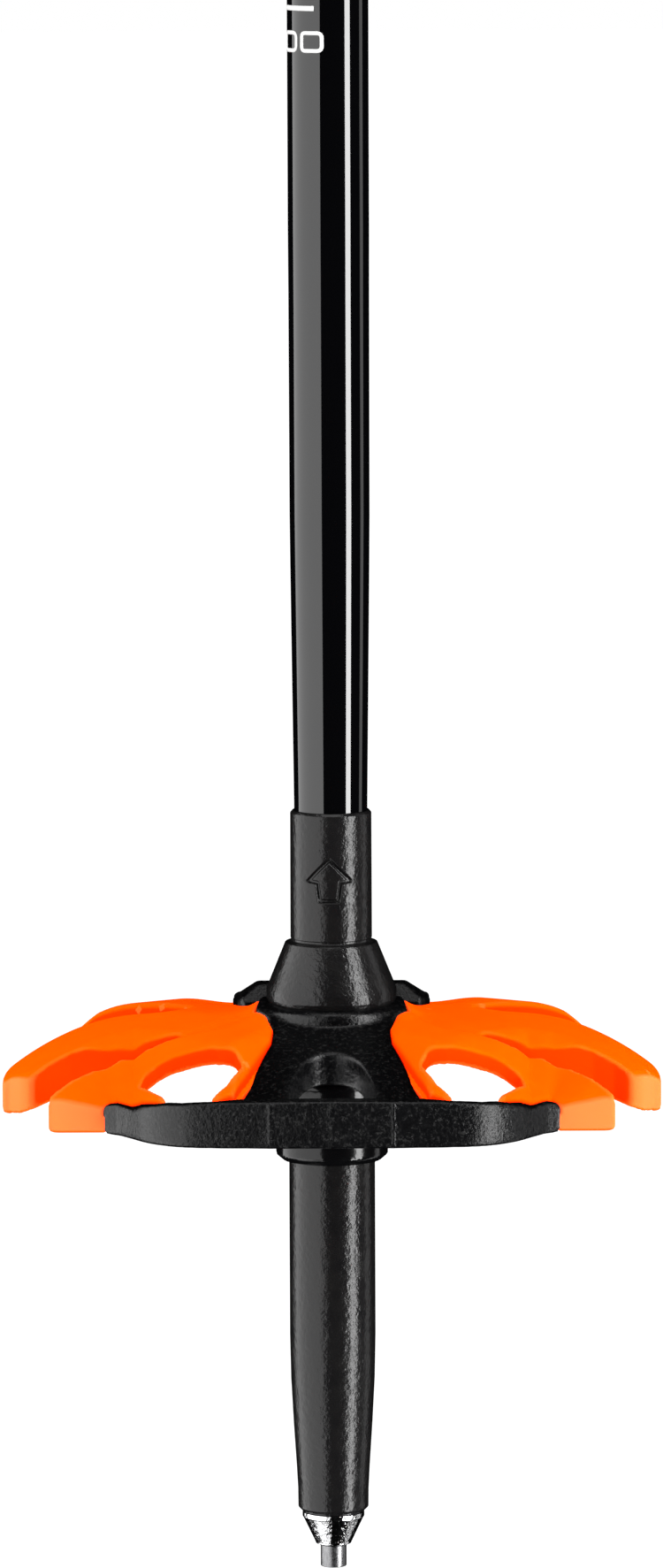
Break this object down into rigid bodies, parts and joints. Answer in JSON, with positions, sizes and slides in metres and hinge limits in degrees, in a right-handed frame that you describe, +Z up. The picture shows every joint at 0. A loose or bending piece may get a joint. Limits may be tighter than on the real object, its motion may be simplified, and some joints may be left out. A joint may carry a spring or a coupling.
{
  "type": "ski pole",
  "caption": "Adjustable ski-touring pole with a lever clamp, padded grip and strap, powder basket with orange petals, and a carbide point.",
  "frame": {"origin": "centre of the carbide point's ground end, on the pole's axis", "axes": "+Z up the pole from point to grip; -Y is the front, the side with the tip's arrow and the basket's flat band; +X is to the viewer's right when facing the front"},
  "size_m": [0.0984, 0.1037, 1.1],
  "materials": {
    "carbide": "ground carbide",
    "steel": "polished",
    "screw_steel": "satin",
    "tip_plastic": "finely textured black",
    "tube_black": "gloss black",
    "bush_plastic": "natural acetal",
    "plug_plastic": "satin",
    "basket_black": "satin black",
    "basket_orange": "satin orange",
    "clamp_plastic": "satin black",
    "lever_orange": "satin orange",
    "foam": "closed-cell foam",
    "grip_soft": "soft-touch, textured",
    "grip_hard": "satin black",
    "webbing": "woven webbing",
    "pad_fabric": "brushed knit over foam"
  },
  "bodies": {
    "upper_section": {"upper_tube": "tube_black", "upper_plug": "plug_plastic", "clamp_collar": "clamp_plastic", "clamp_screw": "screw_steel", "clamp_washer": "screw_steel", "lever_pin": "screw_steel", "thrust_plate": "screw_steel", "extension_collar": "grip_hard", "extension_grip": "foam", "grip_core": "grip_hard", "grip_rubber": "grip_soft", "grip_cap": "grip_hard", "strap_pin": "screw_steel"},
    "lower_section": {"lower_tube": "tube_black", "lower_plug": "plug_plastic", "guide_bush": "bush_plastic", "tip_body": "tip_plastic", "tip_ferrule": "steel", "carbide_tip": "carbide"},
    "basket": {"basket_core": "basket_black", "basket_wing_left": "basket_orange", "basket_wing_right": "basket_orange"},
    "clamp_lever": {"clamp_lever": "lever_orange"},
    "strap": {"strap_webbing": "webbing", "strap_pad": "pad_fabric"},
    "strap_wedge": {"strap_wedge": "lever_orange"}
  },
  "joints": [
    {"name": "section_slide", "type": "slide", "parent": "upper_section", "child": "lower_section", "axis": [0, 0, -1], "range_m": [-0.2, 0.3]},
    {"name": "basket_turn", "type": "hinge", "parent": "lower_section", "child": "basket", "pos_m": [0, 0, 0.074], "axis": [0, 0, 1], "range_deg": [0, 90]},
    {"name": "clamp_lever_hinge", "type": "hinge", "parent": "upper_section", "child": "clamp_lever", "pos_m": [0.0115, 0.0098, 0.35], "axis": [0, 0, -1], "range_deg": [0, 120]},
    {"name": "strap_hinge", "type": "hinge", "parent": "upper_section", "child": "strap", "pos_m": [0, 0.0115, 1.083], "axis": [1, 0, 0], "range_deg": [0, 95]},
    {"name": "wedge_slide", "type": "slide", "parent": "upper_section", "child": "strap_wedge", "axis": [0, 0, 1], "range_m": [0, 0.006]}
  ]
}
